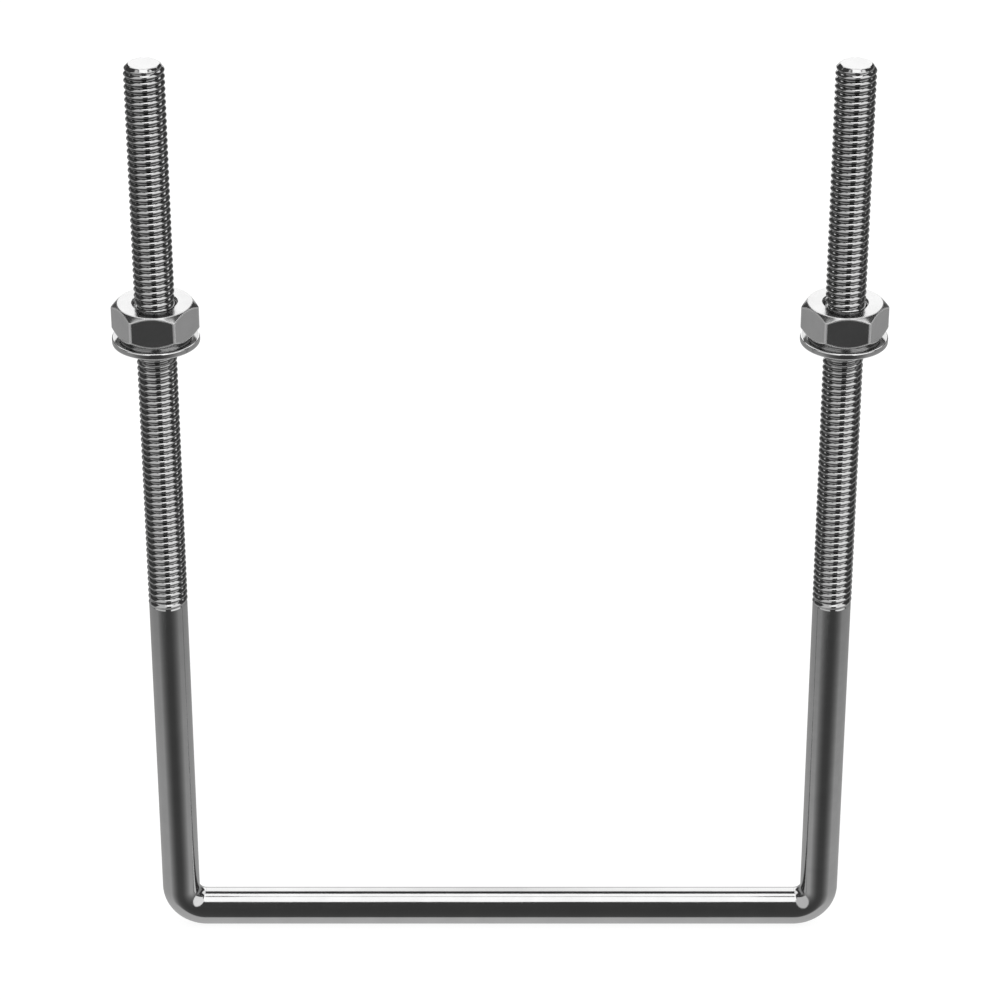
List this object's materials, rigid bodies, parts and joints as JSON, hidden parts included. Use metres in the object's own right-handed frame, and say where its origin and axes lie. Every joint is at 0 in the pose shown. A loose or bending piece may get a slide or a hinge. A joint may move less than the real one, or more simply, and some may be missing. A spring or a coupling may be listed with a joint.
{
  "type": "square u-bolt",
  "caption": "Square U-bolt of round bar with threaded legs, each with a hex nut and a flat washer, for clamping round a square or flat member.",
  "frame": {"origin": "middle of the crossbar's inner face, midway between the legs, where the clamped member sits", "axes": "+Z along the legs towards their threaded ends, +X from the left leg to the right leg, +Y square to the plane of the bolt"},
  "size_m": [0.1824, 0.0206, 0.2347],
  "materials": {
    "bolt_steel": "bright drawn bar, polished",
    "washer_steel": "stamped and tumbled, bright",
    "nut_steel": "cold formed and tumbled, bright"
  },
  "bodies": {
    "u_bolt": {"u_bolt": "bolt_steel"},
    "left_washer": {"left_washer": "washer_steel"},
    "left_nut": {"left_nut": "nut_steel"},
    "right_washer": {"right_washer": "washer_steel"},
    "right_nut": {"right_nut": "nut_steel"}
  },
  "joints": [
    {"name": "left_travel", "type": "slide", "parent": "u_bolt", "child": "left_washer", "axis": [0, 0, 1], "range_m": [-0.07064, 0.06667]},
    {"name": "left_nut_turn", "type": "hinge", "parent": "left_washer", "child": "left_nut", "pos_m": [-0.08087, 0, 0.15677], "axis": [0, 0, 1], "range_deg": [-16020, 15120]},
    {"name": "right_travel", "type": "slide", "parent": "u_bolt", "child": "right_washer", "axis": [0, 0, 1], "range_m": [-0.07064, 0.06667]},
    {"name": "right_nut_turn", "type": "hinge", "parent": "right_washer", "child": "right_nut", "pos_m": [0.08087, 0, 0.15677], "axis": [0, 0, 1], "range_deg": [-16020, 15120]}
  ],
  "couplings": [
    {"joint": "left_nut_turn", "follows": "left_travel", "rad_per_m": 3957.9},
    {"joint": "right_nut_turn", "follows": "right_travel", "rad_per_m": 3957.9}
  ]
}
